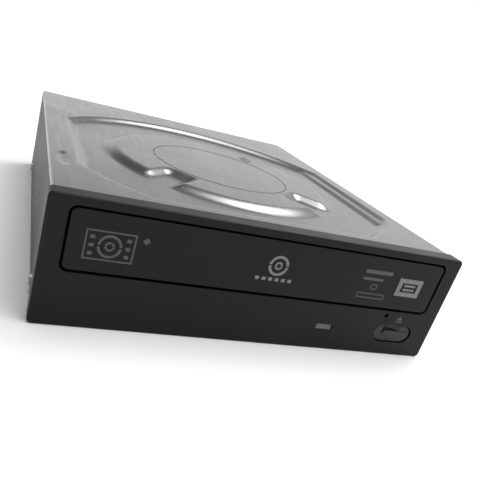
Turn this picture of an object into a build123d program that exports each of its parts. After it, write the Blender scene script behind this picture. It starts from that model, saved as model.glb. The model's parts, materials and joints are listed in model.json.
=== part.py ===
"""Half-height tray-loading optical disc drive, built as an assembly of separate pieces.

Millimetres. +X to the right seen from the front, +Y to the back, +Z up.
The origin is at the centre of the underside of the whole drive.
Places along the drive are given as a depth behind the bezel's front face.
"""
import os
from math import acos, atan2, cos, degrees, pi, radians, sin, sqrt, tan
from build123d import *

os.makedirs("parts", exist_ok=True)

# ---- driving dimensions ----
BEZEL_WIDTH = 148.0
BEZEL_HEIGHT = 42.0
BEZEL_THICK = 6.0
CASE_WIDTH = 146.0
CASE_HEIGHT = 41.3
CASE_LENGTH = 165.0
SHEET = 0.8
FLOOR_SHEET = 0.6
SPINDLE_DEPTH = 72.0
DISC_RADIUS = 60.0
TRAY_TRAVEL = 135.0
CAM_TRAVEL = 18.0
TILT = 5.25
PICKUP_TRAVEL = 34.0
GEAR_MODULE = 1.0
HOLE_PITCH = 79.25
HOLE_FIRST = 47.4
SCREW_HOLE = 1.25

# ---- worked out from them ----
LENGTH = BEZEL_THICK + CASE_LENGTH
FRONT = -LENGTH / 2
HALF_CASE = CASE_WIDTH / 2
CASE_BOTTOM = (BEZEL_HEIGHT - CASE_HEIGHT) / 2
CASE_TOP = CASE_BOTTOM + CASE_HEIGHT
WALL_BOTTOM = CASE_BOTTOM + FLOOR_SHEET
SPINDLE_Y = FRONT + SPINDLE_DEPTH
SIDE_HOLE_HEIGHTS = (CASE_BOTTOM + 10.0, CASE_BOTTOM + 21.9)
HOLE_DEPTHS = (BEZEL_THICK + HOLE_FIRST, BEZEL_THICK + HOLE_FIRST + HOLE_PITCH)
BOTTOM_HOLE_X = 139.7 / 2

# ---- heights shared by several pieces ----
TRAY_BOTTOM = 27.0
TRAY_TOP = 32.5
DECK_TOP = 14.5
FRAME_BOTTOM = 15.5
FRAME_TOP = 20.5
PLATE_BOTTOM = 22.5
PLATE_TOP = 23.7
DISC_SEAT = 32.1
BOARD_BOTTOM = 1.9
BOARD_TOP = 3.5
BRIDGE_BOTTOM = 36.0
BRIDGE_TOP = 37.2

# ---- places shared by several pieces ----
DOOR_HALF = 67.0
DOOR_BOTTOM = 19.3
DOOR_TOP = 38.5
DOOR_GAP = 0.8
BUTTON_X = 57.15
BUTTON_Z = 9.15
BUTTON_SPAN = 16.7
BUTTON_TALL = 7.3
LAMP_X = 26.75
LAMP_Z = 9.15
PIN_HOLE_X = 51.0
PIN_HOLE_Z = 16.5
PIVOT_DEPTH = 155.0
PIVOT_Z = 18.0
PIN_X = 16.0
PIN_Z = 19.0
PIN_DEPTH = 43.1
DAMPER_X = 38.5
DAMPER_DEPTHS = (56.0, 145.0)
BOARD_SCREW_X = 58.0
BOARD_SCREW_DEPTHS = (52.0, 150.0)
LENS_DEPTH = SPINDLE_DEPTH + 24.0
ROD_X = 20.0
ROD_Z = 25.2
SCREW_X = 28.5
SCREW_Z = 23.0
RACK_PITCH_X = -58.0
GEAR_DEPTH = 24.0
RACK_GEAR_TEETH = 24
WHEEL_TEETH = 28
PINION_TEETH = 12
TRAY_GEAR_X = RACK_PITCH_X + RACK_GEAR_TEETH * GEAR_MODULE / 2
PULLEY_X = TRAY_GEAR_X + (WHEEL_TEETH + PINION_TEETH) * GEAR_MODULE / 2
MOTOR_X = 6.0
PULLEY_GROOVE = 12.0
MOTOR_GROOVE = 3.0
BELT_THICK = 1.2
AXLE = 1.5
RUNNING = 0.06


# ---- small building helpers ----
def block(x0, x1, d0, d1, z0, z1):
    """A box between two x values, two depths and two heights."""
    centre = Pos((x0 + x1) / 2, FRONT + (d0 + d1) / 2, (z0 + z1) / 2)
    return centre * Box(x1 - x0, d1 - d0, z1 - z0)


def post(x, depth, z0, z1, radius):
    """A round post that stands up between two heights."""
    return Pos(x, FRONT + depth, (z0 + z1) / 2) * Cylinder(radius, z1 - z0)


def rod_along(x, z, d0, d1, radius):
    """A round rod from front to back."""
    return Pos(x, FRONT + (d0 + d1) / 2, z) * Rot(90, 0, 0) * Cylinder(radius, d1 - d0)


def rod_across(depth, z, x0, x1, radius):
    """A round rod from left to right."""
    return Pos((x0 + x1) / 2, FRONT + depth, z) * Rot(0, 90, 0) * Cylinder(radius, x1 - x0)


def both_sides(shape):
    """The shape and its mirror image on the other side of the drive."""
    return shape + mirror(shape, Plane.YZ)


def stadium(x, z, d0, d1, span, tall):
    """An upright slab with fully round ends, seen from the front."""
    outline = Pos(x, FRONT + d0, z) * Rot(90, 0, 0) * SlotOverall(span, tall)
    return extrude(outline, d1 - d0, dir=(0, 1, 0))


def pan_screw(x, depth, z, shank, head=2.3, thread=1.25, head_height=1.3):
    """A pan head screw whose head sits on height z, with a cross recess."""
    screw = post(x, depth, z, z + head_height, head) + post(x, depth, z - shank, z, thread)
    screw = screw.fillet(0.5, screw.edges().group_by(Axis.Z)[-1])
    for angle in (0, 90):
        slot = Pos(x, FRONT + depth, z + head_height) * Rot(0, 0, angle) * Box(2.4, 0.5, 1.2)
        screw = screw - slot
    return screw


def lowered(shape):
    """Turn a piece of the lifting mechanism from playing height down to its rest place."""
    pivot = Pos(0, FRONT + PIVOT_DEPTH, PIVOT_Z)
    turn = pivot * Rot(TILT, 0, 0) * pivot.inverse()
    pieces = [turn * solid for solid in shape.solids()]
    return pieces[0] if len(pieces) == 1 else Compound(children=pieces)


def write(name, shape):
    """Write one piece to its own file."""
    export_step(shape, f"parts/{name}.step")


# ---- gears ----
def involute(base_radius, radius):
    """Angle, in radians, that an involute has unwound through at a radius."""
    ratio = min(1.0, base_radius / radius)
    return sqrt(1 / ratio**2 - 1) - acos(ratio)


def gear_outline(teeth, backlash=0.16):
    """Face of a spur gear with 20 degree involute flanks, one tooth centred on +X."""
    pitch_radius = teeth * GEAR_MODULE / 2
    base_radius = pitch_radius * cos(radians(20))
    root_radius = pitch_radius - 1.25 * GEAR_MODULE
    tip_radius = pitch_radius + 0.95 * GEAR_MODULE
    flank_start = max(base_radius, root_radius)
    half_tooth = pi / (2 * teeth) - backlash / (2 * pitch_radius)
    steps = 4
    flank = []
    for step in range(steps + 1):
        radius = flank_start + (tip_radius - flank_start) * step / steps
        angle = half_tooth + involute(base_radius, pitch_radius) - involute(base_radius, radius)
        flank.append((radius, angle))
    points = []
    for tooth in range(teeth):
        middle = 2 * pi * tooth / teeth
        outline = [(root_radius, -flank[0][1])] + [(r, -a) for r, a in flank]
        outline += [(r, a) for r, a in reversed(flank)] + [(root_radius, flank[0][1])]
        if flank_start == root_radius:
            outline = outline[1:-1]
        points += [(r * cos(middle + a), r * sin(middle + a)) for r, a in outline]
    return make_face(Polyline(*points, close=True))


def gear(teeth, x, z0, z1, turn=0.0):
    """A spur gear standing on a vertical axis at the gear depth."""
    place = Pos(x, FRONT + GEAR_DEPTH, z0) * Rot(0, 0, turn)
    return extrude(place * gear_outline(teeth), z1 - z0)


def rack_teeth(d0, d1, z0, z1):
    """Straight rack teeth that face +X, with a gap level with the gear's centre."""
    pitch = pi * GEAR_MODULE
    first = int((d0 - GEAR_DEPTH) / pitch) + 1
    last = int((d1 - GEAR_DEPTH) / pitch) - 1
    lean = tan(radians(20)) * GEAR_MODULE
    root_x = RACK_PITCH_X - 1.25 * GEAR_MODULE
    tip_x = RACK_PITCH_X + 0.95 * GEAR_MODULE
    half_root = pitch / 4 + 1.25 * lean - 0.08
    half_tip = pitch / 4 - 0.95 * lean - 0.08
    points = [(root_x - 0.5, FRONT + d0)]
    points.append((root_x, FRONT + d0))
    for number in range(first, last):
        middle = FRONT + GEAR_DEPTH + (number + 0.5) * pitch
        points.append((root_x, middle - half_root))
        points.append((tip_x, middle - half_tip))
        points.append((tip_x, middle + half_tip))
        points.append((root_x, middle + half_root))
    points.append((root_x, FRONT + d1))
    points.append((root_x - 0.5, FRONT + d1))
    face = make_face(Polyline(*points, close=True))
    return extrude(Pos(0, 0, z0) * face, z1 - z0)


# ---- case ----
def pan_outline(height, inset, right_inset):
    """Outline of the pressed pan: straight front and sides, back round the spindle."""
    left = -64.0 + inset
    right = 66.0 - right_inset
    front = FRONT + 12.0 + inset
    back = SPINDLE_Y + 80.0
    sides = Pos((left + right) / 2, (front + back) / 2) * Rectangle(right - left, back - front)
    corners = sides.vertices().group_by(Axis.Y)[0]
    sides = fillet(corners, 11.0 - inset / 2)
    face = sides & (Pos(0, SPINDLE_Y) * Circle(73.5 - inset))
    return Pos(0, 0, height) * face.faces()[0]


def pressed_shape(drop):
    """The space above the pressed top: a pan with a round plateau left in it."""
    top = CASE_TOP - drop
    depth = 1.8
    pan = loft([pan_outline(top + 0.01, 0.0, 0.0), pan_outline(top - depth, 4.5, 9.0)], ruled=True)
    plateau = Pos(0, SPINDLE_Y, top - depth / 2) * Cone(51.0, 45.0, depth)
    width = 12.0 + 2 * drop
    start = 34.0 - drop
    for angle in (45, 225, 315):
        turned = Pos(0, SPINDLE_Y, top - depth / 2) * Rot(0, 0, angle)
        plateau = plateau - turned * Pos(start + 10.0, 0, 0) * Box(20.0, width, depth)
    return pan - plateau


def collar(place, height, radius=2.4):
    """A short drawn collar that gives a screw hole its thread length."""
    return place * Cylinder(radius, height)


def top_cover():
    """Pressed steel cover: top, both sides and the rear wall, all from one sheet."""
    outer = block(-HALF_CASE, HALF_CASE, BEZEL_THICK, LENGTH, WALL_BOTTOM, CASE_TOP)
    outer = outer.fillet(1.2, outer.edges().filter_by(Axis.Y).group_by(Axis.Z)[-1])
    outer = outer - pressed_shape(0.0)
    half_inside = HALF_CASE - SHEET
    inner = block(-half_inside, half_inside, BEZEL_THICK - 1, LENGTH - SHEET, 0, CASE_TOP - SHEET)
    inner = inner - pressed_shape(SHEET)
    cover = outer - inner
    for height in SIDE_HOLE_HEIGHTS:
        for depth in HOLE_DEPTHS:
            for side in (-1, 1):
                place = Pos(side * (half_inside - 0.5), FRONT + depth, height) * Rot(0, 90, 0)
                cover = cover + collar(place, 1.4)
                cover = cover - rod_across(depth, height, side * 69 - 6, side * 69 + 6, SCREW_HOLE)
    cover = cover - block(13, 64, LENGTH - 2, LENGTH + 1, 0, 12.5)
    for number in range(6):
        left = -58 + number * 9
        cover = cover - block(left, left + 6, LENGTH - 2, LENGTH + 1, 22, 24.5)
    for side in (-1, 1):
        for depth in (20, 150):
            x = side * HALF_CASE
            cover = cover - rod_across(depth, 4.6, x - 2, x + 2, 1.3)
    return cover


def bottom_cover():
    """Flat steel floor with a low flange up each side, inside the cover's walls."""
    floor = block(-HALF_CASE, HALF_CASE, BEZEL_THICK, LENGTH, CASE_BOTTOM, WALL_BOTTOM)
    inside = HALF_CASE - SHEET
    flange = block(inside - 0.7, inside - 0.05, BEZEL_THICK + 3, LENGTH - 3, WALL_BOTTOM, 7.2)
    floor = floor + both_sides(flange)
    for depth in HOLE_DEPTHS:
        for side in (-1, 1):
            place = Pos(side * BOTTOM_HOLE_X, FRONT + depth, WALL_BOTTOM + 0.6)
            floor = floor + collar(place, 1.3, 1.55)
            floor = floor - post(side * BOTTOM_HOLE_X, depth, 0, 4, SCREW_HOLE)
    for depth in (20, 150):
        for side in (-1, 1):
            x = side * (inside - 0.4)
            floor = floor - rod_across(depth, 4.6, x - 2, x + 2, 1.3)
    for depth in BOARD_SCREW_DEPTHS:
        for side in (-1, 1):
            floor = floor + post(side * BOARD_SCREW_X, depth, WALL_BOTTOM, BOARD_BOTTOM, 2.6)
            floor = floor - post(side * BOARD_SCREW_X, depth, 0, 4, 1.3)
    return floor


def case_screws():
    """Four screws that hold the cover's sides to the floor's flanges."""
    screws = []
    for side in (-1, 1):
        for depth in (20, 150):
            shank = rod_across(depth, 4.6, 71.6, 72.9, 1.25)
            head = rod_across(depth, 4.6, 73.0, 73.9, 2.2)
            head = head - Pos(73.9, FRONT + depth, 4.6) * Box(0.8, 2.4, 0.5)
            head = head - Pos(73.9, FRONT + depth, 4.6) * Box(0.8, 0.5, 2.4)
            screw = head + shank + rod_across(depth, 4.6, 72.8, 73.1, 1.25)
            if side < 0:
                screw = mirror(screw, Plane.YZ)
            screws.append(screw)
    return Compound(children=screws)


def front_bezel():
    """Moulded front panel: a thin face with a deep rim, openings and four latch arms."""
    half = BEZEL_WIDTH / 2
    body = block(-half, half, 0, BEZEL_THICK, 0, BEZEL_HEIGHT)
    body = body.fillet(1.6, body.edges().filter_by(Axis.Y))
    body = body.fillet(0.7, body.faces().sort_by(Axis.Y)[0].edges())
    body = body - block(-half + 2.4, half - 2.4, 2.4, BEZEL_THICK + 1, 2.0, 17.4)
    mouth_half = DOOR_HALF + DOOR_GAP
    mouth = block(-mouth_half, mouth_half, -1, 7, DOOR_BOTTOM - DOOR_GAP, DOOR_TOP + DOOR_GAP)
    mouth = mouth.fillet(2.6, mouth.edges().filter_by(Axis.Y))
    body = body - mouth
    body = body - stadium(BUTTON_X, BUTTON_Z, -1, 4, BUTTON_SPAN, BUTTON_TALL)
    body = body - block(LAMP_X - 3.25, LAMP_X + 3.25, -1, 4, LAMP_Z - 1.15, LAMP_Z + 1.15)
    body = body - rod_along(PIN_HOLE_X, PIN_HOLE_Z, -1, 7, 0.8)
    arms = block(69.6, 71.2, 2.4, 15, 9, 14) + block(70.4, 71.9, 12.5, 14.5, 9, 14)
    arms = arms + block(64, 71.2, 2.4, 15, 1.3, 2.8) - block(60, 70.4, 7, 11, 1, 3)
    return body + both_sides(arms)


def tray_door():
    """Front of the tray, flush with the bezel when shut, with a stiffening rib behind."""
    door = block(-DOOR_HALF, DOOR_HALF, 0, 2.4, DOOR_BOTTOM, DOOR_TOP)
    door = door.fillet(1.8, door.edges().filter_by(Axis.Y))
    door = door.fillet(0.4, door.faces().sort_by(Axis.Y)[0].edges())
    rib = block(-DOOR_HALF + 2.5, DOOR_HALF - 2.5, 2.4, 5, DOOR_BOTTOM + 1.8, DOOR_TOP - 1.8)
    rib = rib - block(-DOOR_HALF + 4, DOOR_HALF - 4, 2, 6, TRAY_TOP + 0.4, DOOR_TOP - 3.3)
    return door + rib


# ---- button, lamp and the small board behind the bezel ----
def eject_button():
    """Stadium key with a dished corner, a raised bar, a stop flange and a stem."""
    key = stadium(BUTTON_X, BUTTON_Z, 0.5, 3.2, BUTTON_SPAN - 0.8, BUTTON_TALL - 0.8)
    dish = Pos(BUTTON_X - 1.0, FRONT - 7.6, BUTTON_Z + 1.2) * Sphere(9.0)
    key = key - dish
    key = key + stadium(BUTTON_X + 1.6, BUTTON_Z - 0.4, 0.3, 3.2, 12.0, 3.0)
    flange = block(BUTTON_X - 9.4, BUTTON_X + 9.4, 3.2, 4.4, BUTTON_Z - 4.2, BUTTON_Z + 4.2)
    stem = rod_along(BUTTON_X, BUTTON_Z, 4.4, 7.6, 1.8)
    return key + flange + stem


def status_light_pipe():
    """Clear window in the bezel that carries the lamp's light forward."""
    window = block(LAMP_X - 3.15, LAMP_X + 3.15, 0.3, 2.4, LAMP_Z - 1.05, LAMP_Z + 1.05)
    flange = block(LAMP_X - 4.2, LAMP_X + 4.2, 2.4, 3.2, LAMP_Z - 2, LAMP_Z + 2)
    guide = block(LAMP_X - 1.5, LAMP_X + 1.5, 3.2, 8.6, LAMP_Z - 1, LAMP_Z + 1)
    return window + flange + guide


def front_board():
    """Upright board behind the bezel that carries the switch and the lamp."""
    return block(21, 63.5, 12.0, 13.2, 2.0, 13.6)


def eject_switch():
    """Small push switch behind the eject button."""
    return block(BUTTON_X - 3, BUTTON_X + 3, 9.6, 12.0, BUTTON_Z - 3, BUTTON_Z + 3)


def switch_plunger():
    """Nub of the push switch."""
    return rod_along(BUTTON_X, BUTTON_Z, 8.7, 9.6, 1.2)


def status_lamp():
    """Light source on the front board, a moulded body with a domed lens."""
    body = block(LAMP_X - 1.6, LAMP_X + 1.6, 10.0, 12.0, LAMP_Z - 1.4, LAMP_Z + 1.4)
    dome = Pos(LAMP_X, FRONT + 10.0, LAMP_Z) * Sphere(1.1)
    return body + dome


def board_ribbon():
    """Flat ribbon from the front board back to the main board."""
    strip = block(28, 46, 13.2, 48.0, 1.1, 1.3)
    return strip + block(28, 46, 13.2, 13.4, 1.1, 5.0)


# ---- chassis ----
def main_chassis():
    """Moulded frame: side walls with tray guides, front deck, cross bars and pivot posts."""
    wall = block(66.5, 70.5, 16.2, 168, WALL_BOTTOM, 34.0)
    for depth in (56, 88):
        wall = wall + block(66.5, 70.5, depth - 6, depth + 6, 34, BRIDGE_BOTTOM)
    wall = wall + block(66.5, 69.2, 8, 16.2, 15, 34)
    wall = wall + block(62.8, 66.5, 9, 163, 24.6, TRAY_BOTTOM - 0.2)
    for depth in (16, 60, 104, 150):
        wall = wall + block(65.1, 66.5, depth - 4, depth + 4, TRAY_TOP + 0.3, 34)
    for number in range(6):
        depth = 20 + number * 25
        wall = wall - block(66, 71, depth, depth + 12, 28.2, 31.8)
    for height in SIDE_HOLE_HEIGHTS:
        for depth in HOLE_DEPTHS:
            wall = wall - rod_across(depth, height, 62, 74, 3.2)
    for depth in HOLE_DEPTHS:
        wall = wall - post(BOTTOM_HOLE_X, depth, 0, 6, 3.2)
    frame = both_sides(wall)
    frame = frame + block(-69.2, 69.2, 8, 10.3, 15, 18)
    frame = frame + block(-66.5, 18, 8, 40.6, 12.5, DECK_TOP)
    frame = frame + block(-66.5, 66.5, 40, 45.7, 1.9, 5.7)
    frame = frame + block(-66.5, 66.5, 164, 168, 13.5, 27)
    pivot_post = block(43, 48, 150, 166, 12.5, 21.5)
    frame = frame + both_sides(pivot_post)
    frame = frame - rod_across(PIVOT_DEPTH, PIVOT_Z, -49, 49, 2.0 + RUNNING)
    frame = frame - rod_along(PIN_HOLE_X, PIN_HOLE_Z, 7, 12, 1.0)
    frame = frame - post(MOTOR_X, GEAR_DEPTH, 12, 15, 3.0)
    for side in (-1, 1):
        frame = frame - post(MOTOR_X + side * 7, GEAR_DEPTH, 12, 15, 1.0)
    frame = frame + post(TRAY_GEAR_X, GEAR_DEPTH, DECK_TOP, 26.6, AXLE)
    frame = frame + post(PULLEY_X, GEAR_DEPTH, DECK_TOP, 23.0, AXLE)
    frame = frame + post(TRAY_GEAR_X, GEAR_DEPTH, DECK_TOP, 19.2, 3.0)
    return frame


def clamper_bridge():
    """Pressed steel bar over the tray with a hole that holds the clamper."""
    bar = block(-70.5, 70.5, SPINDLE_DEPTH - 20, SPINDLE_DEPTH + 20, BRIDGE_BOTTOM, BRIDGE_TOP)
    for side in (-1, 1):
        for end in (-1, 1):
            x = side * 44
            middle = SPINDLE_DEPTH + end * 22
            bar = bar - block(x - 18, x + 18, middle - 7, middle + 7, 35, 38)
    bar = bar - post(0, SPINDLE_DEPTH, 35, 38, 13.0)
    for side in (-1, 1):
        for end in (-1, 1):
            bar = bar - post(side * 68.5, SPINDLE_DEPTH + end * 16, 35, 38, 1.35)
    return bar


def bridge_screws():
    """Four screws that hold the bridge down on the chassis walls."""
    screws = []
    for side in (-1, 1):
        for end in (-1, 1):
            screws.append(pan_screw(side * 68.5, SPINDLE_DEPTH + end * 16, BRIDGE_TOP, 1.15, 1.9))
    return Compound(children=screws)


def clamper_hub():
    """Round clamper that hangs in the bridge and presses the disc on the turntable."""
    hub = post(0, SPINDLE_DEPTH, 33.5, 37.5, 12.0)
    hub = hub + post(0, SPINDLE_DEPTH, 37.5, 38.3, 16.0)
    hub = hub.chamfer(0.6, None, hub.edges().group_by(Axis.Z)[0])
    hub = hub - post(0, SPINDLE_DEPTH, 33, 35.0, 8.2)
    return hub - post(0, SPINDLE_DEPTH, 36.3, 39, 9.0)


def clamper_magnet():
    """Ring magnet in the clamper's top recess."""
    return post(0, SPINDLE_DEPTH, 36.3, 38.0, 8.95) - post(0, SPINDLE_DEPTH, 36, 39, 3.0)


# ---- tray and loading gears ----
def disc_tray():
    """Sliding tray: two-step disc recess, window for the mechanism, skirts and rack."""
    half = 64.5
    tray = block(-half, half, 5, 163, TRAY_BOTTOM, TRAY_TOP)
    tray = tray.fillet(0.6, tray.edges().filter_by(Axis.Y).group_by(Axis.Z)[-1])
    tray = tray - post(0, SPINDLE_DEPTH, 30.0, 34, DISC_RADIUS + 0.6)
    tray = tray - post(0, SPINDLE_DEPTH, 29.4, 34, 41.0)
    tray = tray - block(-62.9, 62.9, 9, 164, TRAY_BOTTOM - 1, 28.2)
    behind_disc = block(-62.9, 62.9, 135, 164, TRAY_BOTTOM - 1, 30.8)
    tray = tray - behind_disc
    window = post(0, SPINDLE_DEPTH, 20, 40, 19.5)
    window = window + block(-19.5, 19.5, SPINDLE_DEPTH, 138, 20, 40)
    tray = tray - window
    for side in (-1, 1):
        finger = Pos(side * 52, FRONT + 14, 30) * Cylinder(9.0, 3.2)
        tray = tray - (finger & block(-62, 62, 6.5, 40, 29.4, 34))
    tray = tray + block(-60, 60, 5, 9, 23, TRAY_BOTTOM)
    rack_end = GEAR_DEPTH + TRAY_TRAVEL + 3
    carrier = block(-62.2, RACK_PITCH_X - 1.25 * GEAR_MODULE - 0.4, 9, rack_end, 23.0, 28.3)
    return tray + carrier + rack_teeth(9, rack_end, 23.0, 26.9)


def loading_motor():
    """Small motor under the deck, with its boss and shaft."""
    can = post(MOTOR_X, GEAR_DEPTH, 2.0, DECK_TOP - 2.0, 10.0)
    can = can.fillet(0.8, can.edges().group_by(Axis.Z)[0])
    boss = post(MOTOR_X, GEAR_DEPTH, DECK_TOP - 2.0, DECK_TOP, 2.9)
    shaft = post(MOTOR_X, GEAR_DEPTH, DECK_TOP, 18.6, 1.0)
    can = can - Compound(children=[
        post(MOTOR_X - 7, GEAR_DEPTH, 9, 13, 0.9),
        post(MOTOR_X + 7, GEAR_DEPTH, 9, 13, 0.9),
    ])
    return can + boss + shaft


def motor_screws():
    """Two screws through the deck into the motor."""
    screws = [
        pan_screw(MOTOR_X + side * 7, GEAR_DEPTH, DECK_TOP, 4.6, 1.7, 0.85, 0.7)
        for side in (-1, 1)
    ]
    return Compound(children=screws)


def pulley_with_groove(x, groove, rim, z0, z1, bore):
    """A pulley whose flat groove takes the square belt."""
    middle = (z0 + z1) / 2
    wheel = post(x, GEAR_DEPTH, z0, z1, rim)
    channel = post(x, GEAR_DEPTH, middle - 0.8, middle + 0.8, rim + 1)
    channel = channel - post(x, GEAR_DEPTH, middle - 1, middle + 1, groove)
    return wheel - channel - post(x, GEAR_DEPTH, z0 - 1, z1 + 1, bore)


def motor_pulley():
    """Small pulley pressed on the motor's shaft."""
    return pulley_with_groove(MOTOR_X, MOTOR_GROOVE, 4.2, 15.4, 18.4, 1.0 + RUNNING)


def pulley_gear():
    """Large pulley moulded in one piece with a small gear."""
    wheel = pulley_with_groove(PULLEY_X, PULLEY_GROOVE, 13.0, 15.4, 18.4, AXLE + RUNNING)
    pinion = gear(PINION_TEETH, PULLEY_X, 18.4, 22.8, 180 / PINION_TEETH)
    hole = post(PULLEY_X, GEAR_DEPTH, 15, 23, AXLE + RUNNING)
    return wheel + (pinion - hole)


def tray_gear():
    """Two-step gear: the wheel takes the pinion, the upper gear drives the tray's rack."""
    wheel = gear(WHEEL_TEETH, TRAY_GEAR_X, 19.5, 22.5)
    upper = gear(RACK_GEAR_TEETH, TRAY_GEAR_X, 22.5, 26.5)
    hole = post(TRAY_GEAR_X, GEAR_DEPTH, 19, 27, AXLE + RUNNING)
    return wheel + upper - hole


def belt_outline(grow):
    """Outer line of a belt round both pulleys."""
    big = Pos(PULLEY_X, FRONT + GEAR_DEPTH) * Circle(PULLEY_GROOVE + grow)
    small = Pos(MOTOR_X, FRONT + GEAR_DEPTH) * Circle(MOTOR_GROOVE + grow)
    return make_hull(big.edges() + small.edges())


def drive_belt():
    """Square rubber belt from the motor pulley to the large pulley."""
    face = belt_outline(0.1 + BELT_THICK) - belt_outline(0.1)
    return extrude(Pos(0, 0, 16.3) * face, BELT_THICK)


def cam_slider():
    """Sliding plate whose two sloping slots raise and lower the mechanism's front."""
    plate = block(-40, 24, 41.2, 45.0, 6.0, 22.0)
    arm = PIVOT_DEPTH - PIN_DEPTH
    low = PIVOT_Z - arm * sin(radians(TILT)) + (PIN_Z - PIVOT_Z) * cos(radians(TILT))
    rise = PIN_Z - low
    lean = degrees(atan2(rise, CAM_TRAVEL))
    slot_length = sqrt(CAM_TRAVEL**2 + rise**2)
    for x in (-PIN_X, PIN_X):
        middle = Pos(x - CAM_TRAVEL / 2, FRONT + PIN_DEPTH, low + rise / 2)
        slot = middle * Rot(0, lean, 0) * Rot(90, 0, 0) * SlotOverall(slot_length + 3.6, 3.6)
        plate = plate - extrude(slot, 6, both=True)
    return plate + block(-40, 24, 41.2, 43, 22, 22.6)


# ---- lifting mechanism, described at playing height ----
def lift_frame():
    """Moulded frame with front pins for the cam and rear pivots."""
    frame = block(-42, 42, 46.5, 158, FRAME_BOTTOM, FRAME_TOP)
    frame = frame - block(-35, 35, 53, 149.5, FRAME_BOTTOM - 1, FRAME_TOP + 1)
    frame = frame.fillet(1.5, frame.edges().filter_by(Axis.Z))
    for x in (-PIN_X, PIN_X):
        frame = frame + rod_along(x, PIN_Z, 41.4, 47, 1.5)
    frame = frame + both_sides(rod_across(PIVOT_DEPTH, PIVOT_Z, 41, 47, 2.0))
    for depth in DAMPER_DEPTHS:
        for side in (-1, 1):
            frame = frame - post(side * DAMPER_X, depth, 15, 21, 1.3)
    return frame


def traverse_base():
    """Steel plate on rubber dampers, with a window for the pickup and its motor."""
    plate = block(-41.5, 41.5, 49, 152, PLATE_BOTTOM, PLATE_TOP)
    plate = plate.fillet(3.0, plate.edges().filter_by(Axis.Z))
    plate = plate - block(-25, 33, 84, 110 + PICKUP_TRAVEL, 22, 25)
    plate = plate - block(24, 33, 58, 85, 22, 25)
    plate = plate - post(0, SPINDLE_DEPTH, 22, 25, 4.0)
    for depth in DAMPER_DEPTHS:
        for side in (-1, 1):
            plate = plate - post(side * DAMPER_X, depth, 22, 25, 1.3)
    return plate


def rubber_dampers():
    """Four soft rings between the frame and the plate."""
    rings = []
    for depth in DAMPER_DEPTHS:
        for side in (-1, 1):
            ring = post(side * DAMPER_X, depth, FRAME_TOP, PLATE_BOTTOM, 3.3)
            rings.append(ring - post(side * DAMPER_X, depth, 20, 23, 1.3))
    return Compound(children=rings)


def damper_screws():
    """Four screws that pass through the plate and dampers into the frame."""
    screws = []
    for depth in DAMPER_DEPTHS:
        for side in (-1, 1):
            screws.append(pan_screw(side * DAMPER_X, depth, PLATE_TOP, 7.0, 2.8, 1.25, 1.2))
    return Compound(children=screws)


def spindle_board():
    """Small board under the spindle motor."""
    board = block(-13, 13, 57.5, 83, PLATE_TOP, PLATE_TOP + 0.8)
    return board - post(0, SPINDLE_DEPTH, 23, 26, 4.0)


def spindle_stator():
    """Nine-pole stator with its bearing tube."""
    base = PLATE_TOP + 0.8
    stator = post(0, SPINDLE_DEPTH, base, 29.2, 3.2)
    stator = stator + post(0, SPINDLE_DEPTH, 26.0, 27.4, 5.5)
    for pole in range(9):
        turn = Pos(0, SPINDLE_Y, 26.7) * Rot(0, 0, pole * 40)
        stator = stator + turn * Pos(7.6, 0, 0) * Box(6.0, 2.2, 1.4)
        stator = stator + turn * Pos(11.0, 0, 0) * Box(1.0, 5.2, 1.8)
    stator = stator + post(0, SPINDLE_DEPTH, base, 24.7, 5.0)
    return stator - post(0, SPINDLE_DEPTH, 24, 30, 1.2 + RUNNING)


def spindle_rotor():
    """Steel rotor cup of the spindle motor with its shaft."""
    cup = post(0, SPINDLE_DEPTH, 25.0, 30.4, 13.0)
    cup = cup.fillet(0.8, cup.edges().group_by(Axis.Z)[-1])
    cup = cup - post(0, SPINDLE_DEPTH, 24, 29.6, 12.2)
    return cup + post(0, SPINDLE_DEPTH, 25.0, 31.7, 1.2)


def turntable():
    """Turntable with the raised cone that centres the disc."""
    table = post(0, SPINDLE_DEPTH, 30.4, 31.7, 15.0)
    hub = post(0, SPINDLE_DEPTH, 31.7, 34.1, 7.4)
    hub = hub.chamfer(0.9, None, hub.edges().group_by(Axis.Z)[-1])
    hub = hub - post(0, SPINDLE_DEPTH, 33.3, 35, 4.2)
    for finger in range(3):
        turn = Pos(0, SPINDLE_Y, 33.2) * Rot(0, 0, finger * 120)
        hub = hub - turn * Pos(6.4, 1.6, 0) * Box(2.4, 0.4, 2.4)
        hub = hub - turn * Pos(6.4, -1.6, 0) * Box(2.4, 0.4, 2.4)
    return table + hub - post(0, SPINDLE_DEPTH, 30, 31.7, 1.2)


def turntable_mat():
    """Thin rubber ring that grips the disc."""
    return post(0, SPINDLE_DEPTH, 31.7, DISC_SEAT, 14.6) - post(0, SPINDLE_DEPTH, 31, 33, 10.5)


def guide_rods():
    """Two polished rods that the pickup slides on."""
    return both_sides(rod_along(ROD_X, ROD_Z, 81.5, 146.5, 1.5))


def rod_clips():
    """Four clips that hold the ends of the rods on the plate."""
    clips = []
    for d0 in (80.8, 144.2):
        for x in (-ROD_X, ROD_X):
            clip = block(x - 3, x + 3, d0, d0 + 3, PLATE_TOP, ROD_Z + 2.2)
            clips.append(clip - rod_along(x, ROD_Z, 81.5, 146.5, 1.5))
    return Compound(children=clips)


def sled_motor():
    """Slim stepper motor that turns the pickup's lead screw."""
    can = rod_along(SCREW_X, SCREW_Z, 60, 82, 4.2)
    can = can.chamfer(0.4, None, can.faces().sort_by(Axis.Y)[0].edges())
    can = can + block(21.6, 26, 63, 69, PLATE_TOP, PLATE_TOP + 0.7)
    can = can + block(31, 36, 63, 69, PLATE_TOP, PLATE_TOP + 0.7)
    return can - rod_along(SCREW_X, SCREW_Z, 78, 83, 1.0 + RUNNING)


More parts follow.
